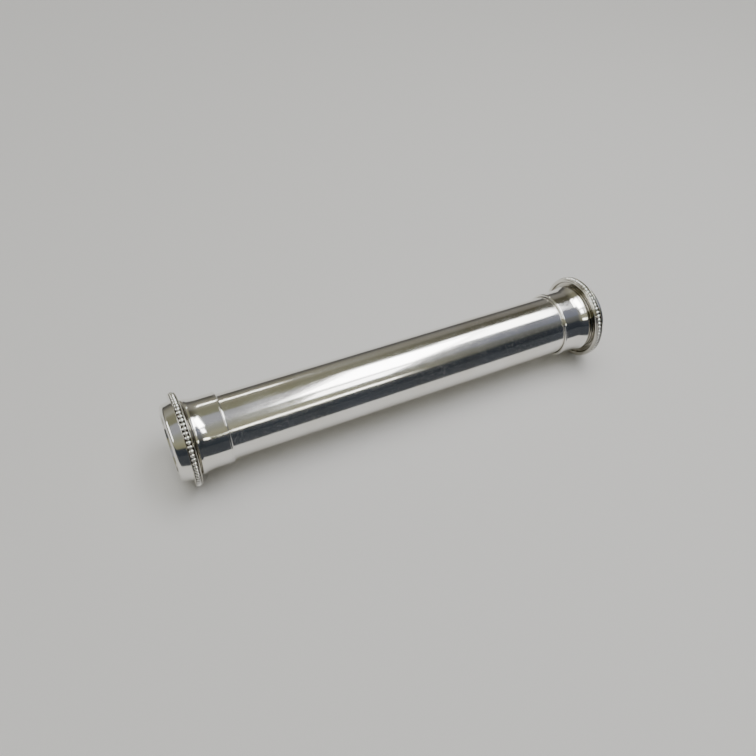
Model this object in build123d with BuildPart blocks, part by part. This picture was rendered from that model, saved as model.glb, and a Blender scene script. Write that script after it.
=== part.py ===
"""Silver-plated scroll case: a plain tube closed by two push-on caps with beaded flanges.

Frame: +X runs along the tube from the left cap to the right cap, +Z is up and the case
lies on its two flanges. The origin is under the middle of the tube, on the surface that
the flanges rest on. Units are millimetres.
"""
import os
from math import cos, pi, sin

from build123d import *

# ---- driving dimensions: x is a distance outward from the middle, r a radius ----
TUBE_R = 20.0
TUBE_WALL = 0.8
TUBE_HALF = 133.0
TUBE_LINER_WALL = 0.5
TUBE_LINER_SETBACK = 1.0

MOUTH_X = 115.7
SLEEVE_R = 21.6
SLEEVE_WALL = 0.7
FLARE_START_X = 126.8
FLARE_END_X = 133.1
FLARE_R = 22.7
SHOULDER_X = 136.4
SHOULDER_R = 20.4
MOUTH_RING_WIDTH = 1.5
MOUTH_RING_HEIGHT = 0.3
MOUTH_RING_IN_R = 20.1

RUNNING_CLEARANCE = 0.05
PAD_FACE_X = 133.3
PAD_R = 20.2

FLANGE_IN_X = 137.0
FLANGE_OUT_X = 141.0
FLANGE_LIP_R = 28.0
LIP_WIDTH = 0.35
CHANNEL_FLOOR_R = 25.6
WEB_X = 138.2
WEB_THICK = 0.9
NECK_R = 19.7
NECK_RING_R = 21.35
ROLL_R = 26.2
ROLL_X = 137.5
ROLL_RADIUS = 1.0

BEAD_COUNT = 66
BEAD_CREST_R = 28.4
BEAD_RADIUS = 1.22
BEAD_END_RADIUS = 0.62
BEAD_STRIP_TOP_R = 26.75

FOOT_SEAT_R = 24.2
FOOT_RIM_R = 22.9
FOOT_END_X = 147.8
FOOT_CORNER = 2.0
FOOT_WALL = 0.8
FOOT_MOUTH_R = 18.2
BASE_PLATE_R = 20.0
BASE_PLATE_THICK = 0.8

# the case stands on two neighbouring beads of each ring, so the rings are set half a pitch round
AXIS_HEIGHT = (BEAD_CREST_R - BEAD_RADIUS) * cos(pi / BEAD_COUNT) + BEAD_RADIUS
TUBE_AXIS = Axis((0, 0, AXIS_HEIGHT), (1, 0, 0))
SIDES = (("left", -1), ("right", 1))


def side_plane(sign):
    """Half-section plane: x is the distance outward, y the radius from the tube's axis."""
    return Plane(origin=(0, 0, AXIS_HEIGHT), x_dir=(sign, 0, 0), z_dir=(0, -sign, 0))


def save(piece, name):
    piece.part.label = name
    export_step(piece.part, f"parts/{name}.step")


def make_tube():
    """The drawn tube, with both mouths eased."""
    with BuildPart() as tube:
        with BuildSketch(side_plane(1)):
            with Locations((0, TUBE_R - TUBE_WALL / 2)):
                Rectangle(2 * TUBE_HALF, TUBE_WALL)
        revolve(axis=TUBE_AXIS)
        rims = tube.edges().filter_by(GeomType.CIRCLE)
        fillet(rims, 0.2)
    save(tube, "tube")

    inner_r = TUBE_R - TUBE_WALL
    with BuildPart() as liner:
        with BuildSketch(side_plane(1)):
            with Locations((0, inner_r - TUBE_LINER_WALL / 2)):
                Rectangle(2 * (TUBE_HALF - TUBE_LINER_SETBACK), TUBE_LINER_WALL)
        revolve(axis=TUBE_AXIS)
    save(liner, "tube_liner")


def make_sleeve(side, sign):
    """The spun cup: straight body behind the mouth ring, flare, round shoulder and a closed end."""
    start_x = MOUTH_X + MOUTH_RING_WIDTH
    inner_r = SLEEVE_R - SLEEVE_WALL
    flare_in_r = FLARE_R - SLEEVE_WALL
    end_in_x = SHOULDER_X - SLEEVE_WALL
    shoulder_in_r = SHOULDER_R - SLEEVE_WALL * 0.4
    with BuildPart() as sleeve:
        with BuildSketch(side_plane(sign)):
            with BuildLine():
                mouth = Line((start_x, inner_r), (start_x, SLEEVE_R))
                straight = Line(mouth @ 1, (FLARE_START_X, SLEEVE_R))
                flare = TangentArc(straight @ 1, (FLARE_END_X, FLARE_R), tangent=(1, 0))
                shoulder = TangentArc(flare @ 1, (SHOULDER_X, SHOULDER_R), tangent=flare % 1)
                end_wall = Line(shoulder @ 1, (SHOULDER_X, 0))
                centre = Line(end_wall @ 1, (end_in_x, 0))
                floor = Line(centre @ 1, (end_in_x, shoulder_in_r))
                turn = TangentArc((FLARE_END_X, flare_in_r), floor @ 1, tangent=flare % 1)
                flare_in = TangentArc((FLARE_START_X, inner_r), turn @ 0, tangent=(1, 0))
                Line(flare_in @ 0, mouth @ 0)
            make_face()
        revolve(axis=TUBE_AXIS)
    save(sleeve, f"{side}_sleeve")


def make_mouth_ring(side, sign):
    """Round-nosed ring soldered on the sleeve's open end, running close to the tube."""
    crest_r = SLEEVE_R + MOUTH_RING_HEIGHT
    nose = (crest_r - MOUTH_RING_IN_R) / 2
    back_x = MOUTH_X + MOUTH_RING_WIDTH
    with BuildPart() as ring:
        with BuildSketch(side_plane(sign)):
            with BuildLine():
                front = ThreePointArc(
                    (MOUTH_X + nose, MOUTH_RING_IN_R),
                    (MOUTH_X, MOUTH_RING_IN_R + nose),
                    (MOUTH_X + nose, crest_r),
                )
                Polyline(front @ 1, (back_x, SLEEVE_R), (back_x, MOUTH_RING_IN_R), front @ 0)
            make_face()
        revolve(axis=TUBE_AXIS)
    save(ring, f"{side}_mouth_ring")


def make_linings(side, sign):
    """Felt band that grips the tube, and the felt disc in the bottom of the cup."""
    band_in_r = TUBE_R + RUNNING_CLEARANCE
    band_out_r = SLEEVE_R - SLEEVE_WALL
    band_start_x = MOUTH_X + MOUTH_RING_WIDTH
    band_end_x = FLARE_START_X
    with BuildPart() as grip:
        with BuildSketch(side_plane(sign)):
            with Locations(((band_start_x + band_end_x) / 2, (band_in_r + band_out_r) / 2)):
                Rectangle(band_end_x - band_start_x, band_out_r - band_in_r)
        revolve(axis=TUBE_AXIS)
    save(grip, f"{side}_grip_liner")

    pad_back_x = SHOULDER_X - SLEEVE_WALL
    with BuildPart() as pad:
        with BuildSketch(side_plane(sign)):
            with Locations(((PAD_FACE_X + pad_back_x) / 2, (PAD_R - 0.6) / 2)):
                Rectangle(pad_back_x - PAD_FACE_X, PAD_R - 0.6)
        revolve(axis=TUBE_AXIS)
    save(pad, f"{side}_end_pad")


def make_flange(side, sign):
    """Spun flange: neck with a round ring, sunk web, round roll, and a rim channel with two lips."""
    web_out_x = WEB_X + WEB_THICK
    with BuildPart() as flange:
        with BuildSketch(side_plane(sign)):
            with BuildLine():
                Polyline((SHOULDER_X, 0), (SHOULDER_X, NECK_R), (ROLL_X, NECK_RING_R - ROLL_RADIUS))
                ThreePointArc(
                    (ROLL_X, NECK_RING_R - ROLL_RADIUS),
                    (ROLL_X - ROLL_RADIUS, NECK_RING_R),
                    (ROLL_X, NECK_RING_R + ROLL_RADIUS),
                )
                Polyline(
                    (ROLL_X, NECK_RING_R + ROLL_RADIUS),
                    (WEB_X, NECK_RING_R + ROLL_RADIUS),
                    (WEB_X, ROLL_R - ROLL_RADIUS),
                    (ROLL_X, ROLL_R - ROLL_RADIUS),
                )
                roll = ThreePointArc(
                    (ROLL_X, ROLL_R - ROLL_RADIUS),
                    (ROLL_X - ROLL_RADIUS, ROLL_R),
                    (FLANGE_IN_X, ROLL_R + ROLL_RADIUS * cos(pi / 6)),
                )
                Polyline(
                    roll @ 1,
                    (FLANGE_IN_X, FLANGE_LIP_R),
                    (FLANGE_IN_X + LIP_WIDTH, FLANGE_LIP_R),
                    (FLANGE_IN_X + LIP_WIDTH, CHANNEL_FLOOR_R),
                    (FLANGE_OUT_X - LIP_WIDTH, CHANNEL_FLOOR_R),
                    (FLANGE_OUT_X - LIP_WIDTH, FLANGE_LIP_R),
                    (FLANGE_OUT_X, FLANGE_LIP_R),
                    (FLANGE_OUT_X, FOOT_SEAT_R),
                    (web_out_x, FOOT_SEAT_R),
                    (web_out_x, 0),
                    (SHOULDER_X, 0),
                )
            make_face()
        revolve(axis=TUBE_AXIS)
        lip_edges = flange.edges().filter_by(GeomType.CIRCLE)
        lip_edges = lip_edges.filter_by(lambda e: abs(e.radius - FLANGE_LIP_R) < 0.01)
        fillet(lip_edges, 0.12)
    save(flange, f"{side}_flange")


def make_beading(side, sign):
    """Beaded strip: a plain band with barrel-shaped beads set side by side round it."""
    strip_in_x = FLANGE_IN_X + LIP_WIDTH
    strip_out_x = FLANGE_OUT_X - LIP_WIDTH
    mid_x = (strip_in_x + strip_out_x) / 2
    half_length = (strip_out_x - strip_in_x) / 2 - 0.05
    bead_axis_r = BEAD_CREST_R - BEAD_RADIUS
    with BuildPart() as beading:
        with BuildSketch(side_plane(sign)):
            with Locations((mid_x, (CHANNEL_FLOOR_R + BEAD_STRIP_TOP_R) / 2)):
                Rectangle(strip_out_x - strip_in_x, BEAD_STRIP_TOP_R - CHANNEL_FLOOR_R)
        revolve(axis=TUBE_AXIS)

    with BuildPart() as bead:
        with BuildSketch(side_plane(sign)):
            with BuildLine():
                axis_line = Line((mid_x - half_length, bead_axis_r), (mid_x + half_length, bead_axis_r))
                near_end = Line(axis_line @ 0, (mid_x - half_length, bead_axis_r + BEAD_END_RADIUS))
                far_end = Line(axis_line @ 1, (mid_x + half_length, bead_axis_r + BEAD_END_RADIUS))
                ThreePointArc(near_end @ 1, (mid_x, BEAD_CREST_R), far_end @ 1)
            make_face()
        revolve(axis=Axis((0, 0, AXIS_HEIGHT + bead_axis_r), (1, 0, 0)))

    with BuildPart() as strip:
        add(beading.part)
        turns = [(i + 0.5) * 360 / BEAD_COUNT for i in range(BEAD_COUNT)]
        beads = [bead.part.rotate(TUBE_AXIS, turn) for turn in turns]
        add(beads)
    save(strip, f"{side}_beading")


def make_foot(side, sign):
    """Tapered drum with a rounded standing edge, turned in to hold the base plate."""
    web_out_x = WEB_X + WEB_THICK
    with BuildPart() as foot:
        with BuildSketch(side_plane(sign)):
            with BuildLine():
                Polyline(
                    (web_out_x, FOOT_SEAT_R - FOOT_WALL),
                    (web_out_x, FOOT_SEAT_R),
                    (FLANGE_OUT_X, FOOT_SEAT_R),
                    (FOOT_END_X - FOOT_CORNER, FOOT_RIM_R),
                )
                ThreePointArc(
                    (FOOT_END_X - FOOT_CORNER, FOOT_RIM_R),
                    (FOOT_END_X - FOOT_CORNER * (1 - sin(pi / 4)), FOOT_RIM_R - FOOT_CORNER * (1 - cos(pi / 4))),
                    (FOOT_END_X, FOOT_RIM_R - FOOT_CORNER),
                )
                Polyline(
                    (FOOT_END_X, FOOT_RIM_R - FOOT_CORNER),
                    (FOOT_END_X, FOOT_MOUTH_R),
                    (FOOT_END_X - FOOT_WALL, FOOT_MOUTH_R),
                    (FOOT_END_X - FOOT_WALL, FOOT_RIM_R - FOOT_CORNER),
                )
                ThreePointArc(
                    (FOOT_END_X - FOOT_WALL, FOOT_RIM_R - FOOT_CORNER),
                    (
                        FOOT_END_X - FOOT_CORNER + (FOOT_CORNER - FOOT_WALL) * sin(pi / 4),
                        FOOT_RIM_R - FOOT_CORNER + (FOOT_CORNER - FOOT_WALL) * cos(pi / 4),
                    ),
                    (FOOT_END_X - FOOT_CORNER, FOOT_RIM_R - FOOT_WALL),
                )
                Line((FOOT_END_X - FOOT_CORNER, FOOT_RIM_R - FOOT_WALL), (web_out_x, FOOT_SEAT_R - FOOT_WALL))
            make_face()
        revolve(axis=TUBE_AXIS)
    save(foot, f"{side}_foot")


def make_base_plate(side, sign):
    """Disc set behind the foot's turned-in edge."""
    plate_out_x = FOOT_END_X - FOOT_WALL
    with BuildPart() as plate:
        with BuildSketch(side_plane(sign)):
            with Locations((plate_out_x - BASE_PLATE_THICK / 2, BASE_PLATE_R / 2)):
                Rectangle(BASE_PLATE_THICK, BASE_PLATE_R)
        revolve(axis=TUBE_AXIS)
    save(plate, f"{side}_base_plate")


os.makedirs("parts", exist_ok=True)
make_tube()
for side_name, side_sign in SIDES:
    make_sleeve(side_name, side_sign)
    make_mouth_ring(side_name, side_sign)
    make_linings(side_name, side_sign)
    make_flange(side_name, side_sign)
    make_beading(side_name, side_sign)
    make_foot(side_name, side_sign)
    make_base_plate(side_name, side_sign)
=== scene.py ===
"""Silver-plated scroll case: a polished tube with two push-on caps, each with a beaded flange and a foot.

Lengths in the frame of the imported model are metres: +X runs along the tube, +Z is up. The sections
of the turned pieces are given in millimetres, as a distance outward from the middle of the case and
a radius from the tube's axis.
"""

import math

import bmesh
import bpy
from mathutils import Euler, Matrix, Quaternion, Vector


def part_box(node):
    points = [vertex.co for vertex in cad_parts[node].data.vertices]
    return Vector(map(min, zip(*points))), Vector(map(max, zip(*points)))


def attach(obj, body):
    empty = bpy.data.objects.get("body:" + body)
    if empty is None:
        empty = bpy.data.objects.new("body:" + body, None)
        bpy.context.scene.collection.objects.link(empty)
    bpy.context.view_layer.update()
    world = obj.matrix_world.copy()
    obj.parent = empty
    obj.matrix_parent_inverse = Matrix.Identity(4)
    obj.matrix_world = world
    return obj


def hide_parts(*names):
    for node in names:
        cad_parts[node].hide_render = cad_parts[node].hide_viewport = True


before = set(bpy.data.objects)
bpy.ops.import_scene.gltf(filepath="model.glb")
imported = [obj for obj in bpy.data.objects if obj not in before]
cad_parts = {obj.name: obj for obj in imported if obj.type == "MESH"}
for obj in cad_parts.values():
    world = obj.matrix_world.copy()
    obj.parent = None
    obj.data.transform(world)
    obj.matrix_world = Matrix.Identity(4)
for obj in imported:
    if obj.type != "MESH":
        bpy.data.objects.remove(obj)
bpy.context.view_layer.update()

MM = 0.001
TURN = 2 * math.pi
RING_STEPS = 256
MERGE_GAP = 0.002
ON_AXIS_GAP = 0.01

tube_low, tube_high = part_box("tube")
AXIS_HEIGHT = (tube_low.z + tube_high.z) / 2
TUBE_AXIS = Vector((1, 0, 0))
TUBE_CENTRE = Vector((0, 0, AXIS_HEIGHT))


# ---- the camera ----

LENS_LENGTH = 33.305
FILM_WIDTH = 36.0
CAMERA_PLACE = (-0.16238, -0.27751, 0.34361)
CAMERA_TURN = (44.889, -2.181, -25.815)


def make_camera():
    """A view from above and in front, looking across the case to the right."""
    lens = bpy.data.cameras.new("view_camera")
    lens.lens = LENS_LENGTH
    lens.sensor_width = FILM_WIDTH
    lens.clip_start = 0.01
    lens.clip_end = 30
    camera = bpy.data.objects.new("view_camera", lens)
    camera.location = CAMERA_PLACE
    camera.rotation_euler = Euler([math.radians(angle) for angle in CAMERA_TURN], "XYZ")
    bpy.context.scene.collection.objects.link(camera)
    bpy.context.scene.camera = camera


make_camera()


# ---- lathe work: a half-section, its eased corners, and the spin ----

def half_section(corners, side=1, closed=True):
    """The outline of one side of a turned piece, standing in the plane above the tube's axis."""
    bm = bmesh.new()
    points = [bm.verts.new((side * x * MM, 0, AXIS_HEIGHT + r * MM)) for x, r in corners]
    for first, second in zip(points, points[1:]):
        bm.edges.new((first, second))
    if closed:
        bm.edges.new((points[-1], points[0]))
    return bm


def ease_point(bm, point, reach, steps):
    """Rounds one corner of the outline, starting the curve at reach from it."""
    bmesh.ops.bevel(
        bm, geom=[point], offset=reach * MM, offset_type="OFFSET",
        segments=steps, profile=0.5, affect="VERTICES", material=-1,
    )


def ease_corner(bm, x, r, reach, steps=6):
    """Rounds the corner of the outline nearest to (x, r)."""
    def gap(point):
        return math.hypot(abs(point.co.x) - x * MM, point.co.z - AXIS_HEIGHT - r * MM)

    ease_point(bm, min(bm.verts, key=gap), reach, steps)


def spin_round(bm):
    """Turns the outline once round the tube's axis, and closes its seam and poles."""
    bmesh.ops.spin(
        bm, geom=list(bm.verts) + list(bm.edges), cent=TUBE_CENTRE, axis=TUBE_AXIS,
        dvec=(0, 0, 0), angle=TURN, steps=RING_STEPS, use_merge=True,
    )
    bmesh.ops.remove_doubles(bm, verts=bm.verts, dist=MERGE_GAP * MM)
    bmesh.ops.recalc_face_normals(bm, faces=bm.faces)


def object_from(bm, name, finish):
    """Turns the finished mesh work into an object of the scene."""
    mesh = bpy.data.meshes.new(name)
    bm.to_mesh(mesh)
    bm.free()
    mesh.materials.append(finish)
    made = bpy.data.objects.new(name, mesh)
    bpy.context.scene.collection.objects.link(made)
    return made


def place_piece(bm, name, body, finish, node, crease=30):
    """Makes the object, gives it its finish and lets it ride in place of its CAD node."""
    piece = object_from(bm, name, finish)
    piece.data.shade_smooth()
    piece.data.set_sharp_from_angle(angle=math.radians(crease))
    shading = piece.modifiers.new("even_shading", "WEIGHTED_NORMAL")
    shading.keep_sharp = True
    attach(piece, body)
    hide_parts(node)


# ---- finishes ----

def start_finish(name):
    finish = bpy.data.materials.new(name)
    finish.use_nodes = True
    tree = finish.node_tree
    return finish, tree, tree.nodes["Principled BSDF"]


def centred_place(tree, stretch=(1, 1, 1)):
    """Object coordinates measured from the tube's axis, so that a pattern is centred on it."""
    place = tree.nodes.new("ShaderNodeTexCoord")
    centre = tree.nodes.new("ShaderNodeMapping")
    centre.inputs["Location"].default_value = (0, 0, -AXIS_HEIGHT * stretch[2])
    centre.inputs["Scale"].default_value = stretch
    tree.links.new(place.outputs["Object"], centre.inputs["Vector"])
    return centre.outputs["Vector"]


def speckle(tree, place, scale, detail=4, roughness=0.5):
    noise = tree.nodes.new("ShaderNodeTexNoise")
    noise.inputs["Scale"].default_value = scale
    noise.inputs["Detail"].default_value = detail
    noise.inputs["Roughness"].default_value = roughness
    tree.links.new(place, noise.inputs["Vector"])
    return noise.outputs["Fac"]


def spread(tree, value, low, high, start=0.0, end=1.0):
    """Maps the part of a value between start and end onto low to high."""
    span = tree.nodes.new("ShaderNodeMapRange")
    span.inputs["From Min"].default_value = start
    span.inputs["From Max"].default_value = end
    span.inputs["To Min"].default_value = low
    span.inputs["To Max"].default_value = high
    tree.links.new(value, span.inputs["Value"])
    return span.outputs["Result"]


def blend_colours(tree, share, first, second):
    """Mixes two colours, each either three numbers or another node's colour."""
    mix = tree.nodes.new("ShaderNodeMix")
    mix.data_type = "RGBA"
    tree.links.new(share, mix.inputs[0])
    for socket, colour in ((mix.inputs[6], first), (mix.inputs[7], second)):
        if isinstance(colour, tuple):
            socket.default_value = (*colour, 1)
        else:
            tree.links.new(colour, socket)
    return mix.outputs[2]


def raise_surface(tree, shader, height, strength, depth):
    """Lets a pattern stand up from the surface by depth, in millimetres."""
    bump = tree.nodes.new("ShaderNodeBump")
    bump.inputs["Strength"].default_value = strength
    bump.inputs["Distance"].default_value = depth * MM
    tree.links.new(height, bump.inputs["Height"])
    tree.links.new(bump.outputs["Normal"], shader.inputs["Normal"])


def distance_from_axis(tree, place):
    parts = tree.nodes.new("ShaderNodeSeparateXYZ")
    across = tree.nodes.new("ShaderNodeCombineXYZ")
    length = tree.nodes.new("ShaderNodeVectorMath")
    length.operation = "LENGTH"
    tree.links.new(place, parts.inputs["Vector"])
    tree.links.new(parts.outputs["Y"], across.inputs["Y"])
    tree.links.new(parts.outputs["Z"], across.inputs["Z"])
    tree.links.new(across.outputs["Vector"], length.inputs[0])
    return length.outputs["Value"]


# The scale of each pattern in the plate. A larger number is a finer pattern.
VEIL_SCALE = 34
WIPE_SCALE = 60
RIPPLE_SCALE = 70
SCRATCH_SCALE = 1500
SCRATCH_STRETCH = (1.0, 5.0, 5.0)
WIPE_ROUGHNESS = 0.05
RIPPLE_DEPTH = 1.0


def polished_silver(name, bright, veil, gloss, hollow_tarnish_and_shade=None, ripple=0.03):
    """Plate with a faint warm veil, a haze of fine scratches, wipe marks and a slight ripple.

    gloss is (roughness between the scratches, roughness in them). crevice is (inner radius, outer
    radius, colour): the plate has that colour at the inner radius, in millimetres, and is clean at
    the outer one. This darkening is partly patina in the hollows and partly painted shade.
    """
    finish, tree, shader = start_finish(name)
    shader.inputs["Metallic"].default_value = 1.0
    place = centred_place(tree)

    veil_share = spread(tree, speckle(tree, place, VEIL_SCALE), 0, 1, start=0.38, end=0.68)
    colour = blend_colours(tree, veil_share, bright, veil)
    # Patina and painted shade in the hollows: the plate darkens toward the inner radius.
    if hollow_tarnish_and_shade:
        inner, outer, hollow_colour = hollow_tarnish_and_shade
        depth = spread(tree, distance_from_axis(tree, place), 0, 1, start=inner * MM, end=outer * MM)
        colour = blend_colours(tree, depth, hollow_colour, colour)
    tree.links.new(colour, shader.inputs["Base Color"])

    scratches = speckle(tree, centred_place(tree, SCRATCH_STRETCH), SCRATCH_SCALE, detail=2)
    wipe_marks = speckle(tree, place, WIPE_SCALE, detail=5, roughness=0.6)
    sharp, hazy = gloss
    fine = spread(tree, scratches, sharp, hazy, start=0.42, end=0.78)
    broad = spread(tree, wipe_marks, 0.0, WIPE_ROUGHNESS, start=0.45, end=0.75)
    total = tree.nodes.new("ShaderNodeMath")
    total.operation = "ADD"
    tree.links.new(fine, total.inputs[0])
    tree.links.new(broad, total.inputs[1])
    tree.links.new(total.outputs["Value"], shader.inputs["Roughness"])

    raise_surface(tree, shader, speckle(tree, place, RIPPLE_SCALE, detail=1), ripple, RIPPLE_DEPTH)
    return finish


FIBRE_ROUGHNESS = 0.95
FIBRE_SHEEN = 0.35
FIBRE_RELIEF = 0.6


def fibre_finish(name, dark, light, scale, depth):
    """Felt or paper: mottled fibres with a soft sheen, raised by depth in millimetres."""
    finish, tree, shader = start_finish(name)
    shader.inputs["Roughness"].default_value = FIBRE_ROUGHNESS
    shader.inputs["Sheen Weight"].default_value = FIBRE_SHEEN
    fibre = speckle(tree, centred_place(tree), scale, detail=6, roughness=0.65)
    mottle = spread(tree, fibre, 0, 1, start=0.3, end=0.7)
    tree.links.new(blend_colours(tree, mottle, dark, light), shader.inputs["Base Color"])
    raise_surface(tree, shader, fibre, FIBRE_RELIEF, depth)
    return finish


SILVER = (0.90, 0.89, 0.865)
WARM_SILVER = (0.845, 0.825, 0.77)
# The flange's plate and its veil, a little darker than the rest of the plate.
DARKER_SILVER = (0.80, 0.785, 0.74)
DARKER_WARM_SILVER = (0.66, 0.635, 0.555)
# Patina and painted shade in the flange's sunk web, darkest near the neck.
WEB_TARNISH_AND_SHADE = (0.26, 0.24, 0.19)
# Patina and painted shade in the gaps between the beads, down by their band.
BEAD_TARNISH_AND_SHADE = (0.07, 0.06, 0.045)
DARK_NAVY, LIGHT_NAVY = (0.010, 0.014, 0.035), (0.035, 0.045, 0.085)
DARK_PAPER, LIGHT_PAPER = (0.045, 0.05, 0.075), (0.085, 0.095, 0.13)

tube_silver = polished_silver("polished_tube_silver", SILVER, WARM_SILVER, gloss=(0.03, 0.34))
cap_silver = polished_silver("polished_cap_silver", SILVER, WARM_SILVER, gloss=(0.035, 0.24))
flange_silver = polished_silver(
    "flange_silver", DARKER_SILVER, DARKER_WARM_SILVER, gloss=(0.05, 0.20), hollow_tarnish_and_shade=(20.2, 27.0, WEB_TARNISH_AND_SHADE),
)
bead_silver = polished_silver(
    "bead_silver", SILVER, WARM_SILVER, gloss=(0.16, 0.30), hollow_tarnish_and_shade=(26.7, 28.0, BEAD_TARNISH_AND_SHADE), ripple=0.0,
)
navy_felt = fibre_finish("navy_felt", DARK_NAVY, LIGHT_NAVY, scale=1700, depth=0.15)
lining_paper = fibre_finish("lining_paper", DARK_PAPER, LIGHT_PAPER, scale=700, depth=0.03)


# ---- the tube ----

TUBE_HALF_LENGTH = tube_high.x / MM
TUBE_RADIUS = 20.0
TUBE_BORE = 19.2
TUBE_LIP = 0.2


def make_tube():
    """Drawn tube with its cut ends eased."""
    bm = half_section([
        (TUBE_HALF_LENGTH, TUBE_BORE), (TUBE_HALF_LENGTH, TUBE_RADIUS),
        (-TUBE_HALF_LENGTH, TUBE_RADIUS), (-TUBE_HALF_LENGTH, TUBE_BORE),
    ])
    for corner in list(bm.verts):
        ease_point(bm, corner, TUBE_LIP, 3)
    spin_round(bm)
    place_piece(bm, "case_tube", "tube_body", tube_silver, "tube")


# ---- the caps: places along the tube, outward from the middle, then radii ----

flange_low, flange_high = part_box("right_flange")
foot_low, foot_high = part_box("right_foot")

MOUTH = 115.7
MOUTH_RING_BACK = 117.2
SLEEVE_START = MOUTH_RING_BACK - 0.1
FLARE_ROOT = 130.0
SHOULDER = 135.4
SLEEVE_END = flange_low.x / MM
ROLL_CREST = 136.5
FLANGE_IN = 137.0
ROLL_SEAT = 137.5
WEB_FACE = 138.2
WEB_BACK = foot_low.x / MM
FLANGE_OUT = flange_high.x / MM
FOOT_END = foot_high.x / MM

SLEEVE_WALL = 0.7
SLEEVE_RADIUS = 21.6
SLEEVE_BORE = SLEEVE_RADIUS - SLEEVE_WALL
SHOULDER_RADIUS = 23.55
SHOULDER_BORE = 21.8
SLEEVE_END_RADIUS = 20.4

MOUTH_RING_BORE = 20.1
MOUTH_RING_CREST = 21.9
MOUTH_RING_EASE = 0.85

LIP = 0.35
LIP_RADIUS = 28.0
LIP_EASE = 0.12
CHANNEL_FLOOR = 25.6
NECK_RADIUS = 19.7
NECK_RING_ROOT = 20.3
NECK_RING_INNER, NECK_RING_OUTER = 20.4, 22.3
NECK_RING_EASE = 0.93
WEB_INNER, WEB_OUTER = 22.35, 25.2
WEB_EASE = 0.3
ROLL_INNER, ROLL_OUTER = 25.25, 27.05
ROLL_ROOT = 27.15
ROLL_EASE = 0.88

BAND_TOP = 26.75
BEAD_COUNT = 66
BEAD_CREST = 28.4
BEAD_RADIUS = 1.27
BEAD_END_GAP = 0.03
BEAD_CUT = 0.62

FOOT_SEAT = 24.2
FOOT_WALL = 0.8
FOOT_BORE = FOOT_SEAT - FOOT_WALL
FOOT_END_RADIUS = 22.45
FOOT_END_BORE = 21.6
FOOT_MOUTH = 18.2


def make_sleeve(name, side):
    """Spun cup: straight body, a trumpet flare, round shoulder and a flat end."""
    end_inside = SLEEVE_END - SLEEVE_WALL
    bm = half_section([
        (SLEEVE_START, SLEEVE_BORE), (SLEEVE_START, SLEEVE_RADIUS), (FLARE_ROOT, SLEEVE_RADIUS),
        (SHOULDER, SHOULDER_RADIUS), (SLEEVE_END, SLEEVE_END_RADIUS), (SLEEVE_END, 0),
        (end_inside, 0), (end_inside, SHOULDER_BORE), (FLARE_ROOT, SLEEVE_BORE),
    ], side)
    edge_on_axis = [
        edge for edge in bm.edges
        if all(abs(point.co.z - AXIS_HEIGHT) < ON_AXIS_GAP * MM for point in edge.verts)
    ]
    bmesh.ops.delete(bm, geom=edge_on_axis, context="EDGES")
    ease_corner(bm, FLARE_ROOT, SLEEVE_RADIUS, 3.2, 12)
    ease_corner(bm, SHOULDER, SHOULDER_RADIUS, 2.4, 14)
    ease_corner(bm, FLARE_ROOT, SLEEVE_BORE, 3.0)
    ease_corner(bm, end_inside, SHOULDER_BORE, 1.6)
    spin_round(bm)
    place_piece(bm, f"{name}_cap_sleeve", f"{name}_cap", cap_silver, f"{name}_sleeve")


def make_mouth_ring(name, side):
    """Round-nosed ring soldered on the sleeve's open end, running close to the tube."""
    bm = half_section([
        (MOUTH, MOUTH_RING_BORE), (MOUTH, MOUTH_RING_CREST),
        (MOUTH_RING_BACK, MOUTH_RING_CREST), (MOUTH_RING_BACK, MOUTH_RING_BORE),
    ], side)
    ease_corner(bm, MOUTH, MOUTH_RING_BORE, MOUTH_RING_EASE)
    ease_corner(bm, MOUTH, MOUTH_RING_CREST, MOUTH_RING_EASE)
    ease_corner(bm, MOUTH_RING_BACK, MOUTH_RING_CREST, 0.28, 4)
    spin_round(bm)
    place_piece(
        bm, f"{name}_cap_mouth_ring", f"{name}_cap", cap_silver, f"{name}_mouth_ring", crease=60,
    )


def make_flange(name, side):
    """Neck with a round ring, sunk web, round roll and a channel between two thin lips."""
    bm = half_section([
        (SLEEVE_END, 0), (SLEEVE_END, NECK_RADIUS), (ROLL_SEAT, NECK_RING_ROOT),
        (ROLL_CREST, NECK_RING_INNER), (ROLL_CREST, NECK_RING_OUTER), (ROLL_SEAT, WEB_INNER),
        (WEB_FACE, WEB_INNER), (WEB_FACE, WEB_OUTER), (ROLL_SEAT, WEB_OUTER),
        (ROLL_CREST, ROLL_INNER), (ROLL_CREST, ROLL_OUTER), (FLANGE_IN, ROLL_ROOT),
        (FLANGE_IN, LIP_RADIUS), (FLANGE_IN + LIP, LIP_RADIUS), (FLANGE_IN + LIP, CHANNEL_FLOOR),
        (FLANGE_OUT - LIP, CHANNEL_FLOOR), (FLANGE_OUT - LIP, LIP_RADIUS), (FLANGE_OUT, LIP_RADIUS),
        (FLANGE_OUT, FOOT_SEAT), (WEB_BACK, FOOT_SEAT), (WEB_BACK, 0),
    ], side, closed=False)
    for x, r, reach in (
        (ROLL_CREST, NECK_RING_INNER, NECK_RING_EASE), (ROLL_CREST, NECK_RING_OUTER, NECK_RING_EASE),
        (WEB_FACE, WEB_INNER, WEB_EASE), (WEB_FACE, WEB_OUTER, WEB_EASE),
        (ROLL_CREST, ROLL_INNER, ROLL_EASE), (ROLL_CREST, ROLL_OUTER, ROLL_EASE),
        (FLANGE_IN, LIP_RADIUS, LIP_EASE), (FLANGE_IN + LIP, LIP_RADIUS, LIP_EASE),
        (FLANGE_OUT - LIP, LIP_RADIUS, LIP_EASE), (FLANGE_OUT, LIP_RADIUS, LIP_EASE),
    ):
        ease_corner(bm, x, r, reach)
    spin_round(bm)
    place_piece(bm, f"{name}_cap_flange", f"{name}_cap", flange_silver, f"{name}_flange")


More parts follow.
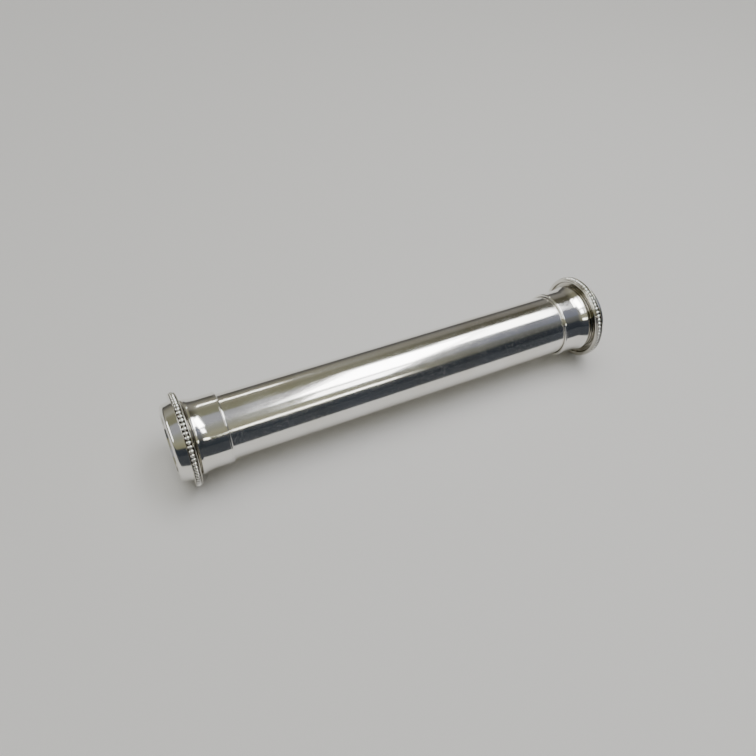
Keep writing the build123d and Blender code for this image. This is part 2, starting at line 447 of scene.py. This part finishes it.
def shape_bead(half_length):
    """One barrel-shaped bead at the middle of the scene, cut off below where it sinks in its band."""
    bead = bmesh.new()
    bmesh.ops.create_uvsphere(bead, u_segments=12, v_segments=8, radius=1.0)
    bmesh.ops.rotate(bead, verts=bead.verts, matrix=Euler((0, math.pi / 2, 0)).to_matrix())
    bmesh.ops.scale(
        bead, verts=bead.verts, vec=(half_length * MM, BEAD_RADIUS * MM, BEAD_RADIUS * MM),
    )
    bmesh.ops.bisect_plane(
        bead, geom=list(bead.verts) + list(bead.edges) + list(bead.faces), dist=1e-7,
        plane_co=(0, 0, -BEAD_CUT * BEAD_RADIUS * MM), plane_no=(0, 0, -1), clear_outer=True,
    )
    bmesh.ops.holes_fill(bead, edges=[edge for edge in bead.edges if edge.is_boundary])
    return bead


def make_beading(name, side):
    """A band in the flange's channel with barrel-shaped beads set side by side round it.

    The first bead is half a step off the top, so that the case lies on two beads of each ring.
    """
    start, end = FLANGE_IN + LIP, FLANGE_OUT - LIP
    bead = shape_bead((end - start) / 2 - BEAD_END_GAP)
    seat = (side * (start + end) / 2 * MM, 0, AXIS_HEIGHT + (BEAD_CREST - BEAD_RADIUS) * MM)
    half_step = Euler((TURN / BEAD_COUNT / 2, 0, 0)).to_matrix()
    bmesh.ops.translate(bead, verts=bead.verts, vec=seat)
    bmesh.ops.rotate(bead, verts=bead.verts, cent=TUBE_CENTRE, matrix=half_step)
    bmesh.ops.spin(
        bead, geom=list(bead.verts) + list(bead.edges) + list(bead.faces), cent=TUBE_CENTRE,
        axis=TUBE_AXIS, dvec=(0, 0, 0), angle=TURN * (BEAD_COUNT - 1) / BEAD_COUNT,
        steps=BEAD_COUNT - 1, use_duplicate=True,
    )
    bmesh.ops.recalc_face_normals(bead, faces=bead.faces)
    beads = bpy.data.meshes.new("beads")
    bead.to_mesh(beads)
    bead.free()

    bm = half_section([
        (start, CHANNEL_FLOOR), (start, BAND_TOP), (end, BAND_TOP), (end, CHANNEL_FLOOR),
    ], side)
    spin_round(bm)
    bm.from_mesh(beads)
    bpy.data.meshes.remove(beads)
    place_piece(
        bm, f"{name}_cap_beading", f"{name}_cap", bead_silver, f"{name}_beading", crease=50,
    )


def make_foot(name, side):
    """Tapered drum with a rounded standing edge, turned in to hold the base plate."""
    end_inside = FOOT_END - FOOT_WALL
    bm = half_section([
        (WEB_BACK, FOOT_BORE), (WEB_BACK, FOOT_SEAT), (FLANGE_OUT, FOOT_SEAT),
        (FOOT_END, FOOT_END_RADIUS), (FOOT_END, FOOT_MOUTH), (end_inside, FOOT_MOUTH),
        (end_inside, FOOT_END_BORE), (FLANGE_OUT, FOOT_BORE),
    ], side)
    ease_corner(bm, FOOT_END, FOOT_END_RADIUS, 2.1, 12)
    ease_corner(bm, FOOT_END, FOOT_MOUTH, 0.25, 3)
    ease_corner(bm, end_inside, FOOT_END_BORE, 1.4)
    spin_round(bm)
    place_piece(bm, f"{name}_cap_foot", f"{name}_cap", cap_silver, f"{name}_foot")


make_tube()
for cap, outward in (("left", -1), ("right", 1)):
    make_sleeve(cap, outward)
    make_mouth_ring(cap, outward)
    make_flange(cap, outward)
    make_beading(cap, outward)
    make_foot(cap, outward)

CARRIED_FINISHES = {
    "tube_liner": lining_paper,
    "left_grip_liner": navy_felt,
    "right_grip_liner": navy_felt,
    "left_end_pad": navy_felt,
    "right_end_pad": navy_felt,
    "left_base_plate": cap_silver,
    "right_base_plate": cap_silver,
}
for node, finish in CARRIED_FINISHES.items():
    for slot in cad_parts[node].material_slots:
        slot.material = finish


# ---- the studio ----

FLOOR_REACH = 6
FLOOR_COLOUR = (0.80, 0.79, 0.775)
BACKDROP_COLOUR = (0.72, 0.715, 0.70)
CARD_LENGTH = 0.8
CARD_HEIGHT = 0.042
CARD_PLACE = (0, -0.078, 0.022)
CARD_COLOUR = (0.02, 0.022, 0.026)
CARD_GLOW = (0.066, 0.074, 0.090)


def make_floor():
    bm = bmesh.new()
    bmesh.ops.create_grid(bm, x_segments=1, y_segments=1, size=FLOOR_REACH)
    finish, _, shader = start_finish("pale_floor")
    shader.inputs["Base Color"].default_value = (*FLOOR_COLOUR, 1)
    shader.inputs["Roughness"].default_value = 0.85
    floor = object_from(bm, "studio_floor", finish)


def make_dark_card():
    """A softly glowing slate card standing close in front of the case, seen only in the plate."""
    bm = bmesh.new()
    bmesh.ops.create_grid(bm, x_segments=1, y_segments=1, size=0.5)
    bmesh.ops.scale(bm, verts=bm.verts, vec=(CARD_LENGTH, CARD_HEIGHT, 1))
    bmesh.ops.rotate(bm, verts=bm.verts, matrix=Euler((math.pi / 2, 0, 0)).to_matrix())
    bmesh.ops.translate(bm, verts=bm.verts, vec=CARD_PLACE)
    finish, _, shader = start_finish("slate_card")
    shader.inputs["Base Color"].default_value = (*CARD_COLOUR, 1)
    shader.inputs["Emission Color"].default_value = (*CARD_GLOW, 1)
    shader.inputs["Emission Strength"].default_value = 1.0
    shader.inputs["Roughness"].default_value = 0.9
    card = object_from(bm, "dark_card", finish)
    card.visible_camera = False
    card.visible_diffuse = False
    card.visible_shadow = False


def make_room_light():
    """Even light from straight above for the floor and linings. The plate doesn't mirror it."""
    lamp = bpy.data.lights.new("room_light", "SUN")
    lamp.energy = 2.6
    lamp.angle = math.radians(75)
    room_light = bpy.data.objects.new("room_light", lamp)
    room_light.visible_glossy = False
    bpy.context.scene.collection.objects.link(room_light)


def make_softbox(name, centre, size, glow, aim, turn=0, tint=(1, 1, 1), lights_floor=False):
    """A flat lamp whose face has the given brightness, hidden from the camera itself.

    turn swings it about the upright, in degrees.
    """
    lamp = bpy.data.lights.new(name, "AREA")
    lamp.shape = "RECTANGLE"
    lamp.size, lamp.size_y = size
    lamp.energy = glow * math.pi * size[0] * size[1]
    lamp.color = tint
    softbox = bpy.data.objects.new(name, lamp)
    softbox.location = centre
    facing = (Vector(aim) - Vector(centre)).to_track_quat("-Z", "Y")
    softbox.rotation_euler = (Quaternion((0, 0, 1), math.radians(turn)) @ facing).to_euler()
    softbox.visible_camera = False
    softbox.visible_diffuse = lights_floor
    bpy.context.scene.collection.objects.link(softbox)


# What the polished plate sees of the studio, by its height: 0 is the front horizon, 90 overhead
# and 180 the back horizon, in degrees. One set is for the left of the studio, one for the right.
LEFT_BANDS = (
    (0, (0.066, 0.076, 0.094)),
    (24, (0.075, 0.085, 0.104)),
    (28, (0.42, 0.41, 0.27)),
    (44, (0.55, 0.54, 0.39)),
    (54, (0.50, 0.50, 0.41)),
    (66, (0.56, 0.57, 0.52)),
    (74, (0.60, 0.61, 0.67)),
    (96, (0.60, 0.61, 0.66)),
    (103, (0.36, 0.36, 0.24)),
    (126, (0.37, 0.36, 0.25)),
    (138, (0.56, 0.55, 0.45)),
    (156, (0.44, 0.42, 0.34)),
    (170, (0.17, 0.165, 0.15)),
    (180, (0.13, 0.13, 0.12)),
)
RIGHT_BANDS = (
    (0, (0.060, 0.067, 0.082)),
    (26, (0.070, 0.078, 0.094)),
    (32, (0.17, 0.175, 0.165)),
    (46, (0.26, 0.27, 0.27)),
    (52, (0.32, 0.34, 0.42)),
    (76, (0.38, 0.40, 0.49)),
    (106, (0.46, 0.48, 0.48)),
    (112, (0.13, 0.122, 0.085)),
    (134, (0.12, 0.112, 0.080)),
    (143, (0.34, 0.32, 0.28)),
    (158, (0.40, 0.39, 0.36)),
    (170, (0.17, 0.165, 0.155)),
    (180, (0.13, 0.13, 0.125)),
)
FULL_HEIGHT = 180


def colour_bands(tree, height, bands_by_height):
    bands = tree.nodes.new("ShaderNodeValToRGB")
    tree.links.new(height, bands.inputs["Fac"])
    stops = bands.color_ramp.elements
    while len(stops) < len(bands_by_height):
        stops.new(0.5)
    for stop, (degrees, colour) in zip(stops, bands_by_height):
        stop.position = degrees / FULL_HEIGHT
        stop.color = (*colour, 1)
    return bands.outputs["Color"]


def make_studio_air():
    """The soft surround: a plain pale backdrop, seen in the plate as bands of grey, olive and slate."""
    air = bpy.data.worlds.new("studio_air")
    air.use_nodes = True
    tree = air.node_tree
    background = tree.nodes["Background"]
    place = tree.nodes.new("ShaderNodeTexCoord")
    parts = tree.nodes.new("ShaderNodeSeparateXYZ")
    tree.links.new(place.outputs["Generated"], parts.inputs["Vector"])
    forward = tree.nodes.new("ShaderNodeMath")
    forward.operation = "MULTIPLY"
    forward.inputs[1].default_value = -1
    tree.links.new(parts.outputs["Y"], forward.inputs[0])
    angle = tree.nodes.new("ShaderNodeMath")
    angle.operation = "ARCTAN2"
    tree.links.new(parts.outputs["Z"], angle.inputs[0])
    tree.links.new(forward.outputs["Value"], angle.inputs[1])
    height = spread(tree, angle.outputs["Value"], 0, 1, start=0, end=math.pi)
    rightward = spread(tree, parts.outputs["X"], 0, 1, start=0.25, end=0.50)
    left = colour_bands(tree, height, LEFT_BANDS)
    right = colour_bands(tree, height, RIGHT_BANDS)
    mirrored = blend_colours(tree, rightward, left, right)
    seen = tree.nodes.new("ShaderNodeLightPath")
    colour = blend_colours(tree, seen.outputs["Is Camera Ray"], mirrored, BACKDROP_COLOUR)
    tree.links.new(colour, background.inputs["Color"])
    background.inputs["Strength"].default_value = 1.0
    bpy.context.scene.world = air


UNDER_MAIN = (0.36, -0.08, 0)
UNDER_FRONT = (0.34, -0.68, 0)
UNDER_RIGHT = (0.65, 0.07, 0)
LEFT_FOOT = (-0.148, 0, AXIS_HEIGHT)
MAIN_TURN = -13
WARM_WHITE = (1, 0.98, 0.90)

make_floor()
make_dark_card()
make_studio_air()
make_room_light()
make_softbox(
    "main_softbox", centre=(0.36, -0.08, 1.03), size=(0.37, 0.75), glow=6.0, aim=UNDER_MAIN,
    turn=MAIN_TURN, lights_floor=True,
)
make_softbox(
    "main_core", centre=(0.36, -0.08, 1.02), size=(0.29, 0.60), glow=16.0, aim=UNDER_MAIN, turn=MAIN_TURN,
)
make_softbox("front_softbox", centre=(0.34, -0.68, 1.03), size=(0.24, 0.34), glow=12.0, aim=UNDER_FRONT)
make_softbox("right_softbox", centre=(0.65, 0.07, 1.03), size=(0.29, 0.54), glow=14.0, aim=UNDER_RIGHT)
make_softbox(
    "front_strip", centre=(0.22, -1.00, 0.60), size=(0.40, 0.08), glow=12.0, aim=TUBE_CENTRE, tint=WARM_WHITE,
)
make_softbox(
    "back_strip", centre=(0.12, 1.33, 1.03), size=(0.28, 0.09), glow=14.0, aim=TUBE_CENTRE, tint=WARM_WHITE,
)
make_softbox("left_softbox", centre=(-1.05, 0.05, 0.72), size=(1.10, 0.30), glow=8.0, aim=LEFT_FOOT)
bpy.context.scene.view_settings.look = "AgX - Punchy"
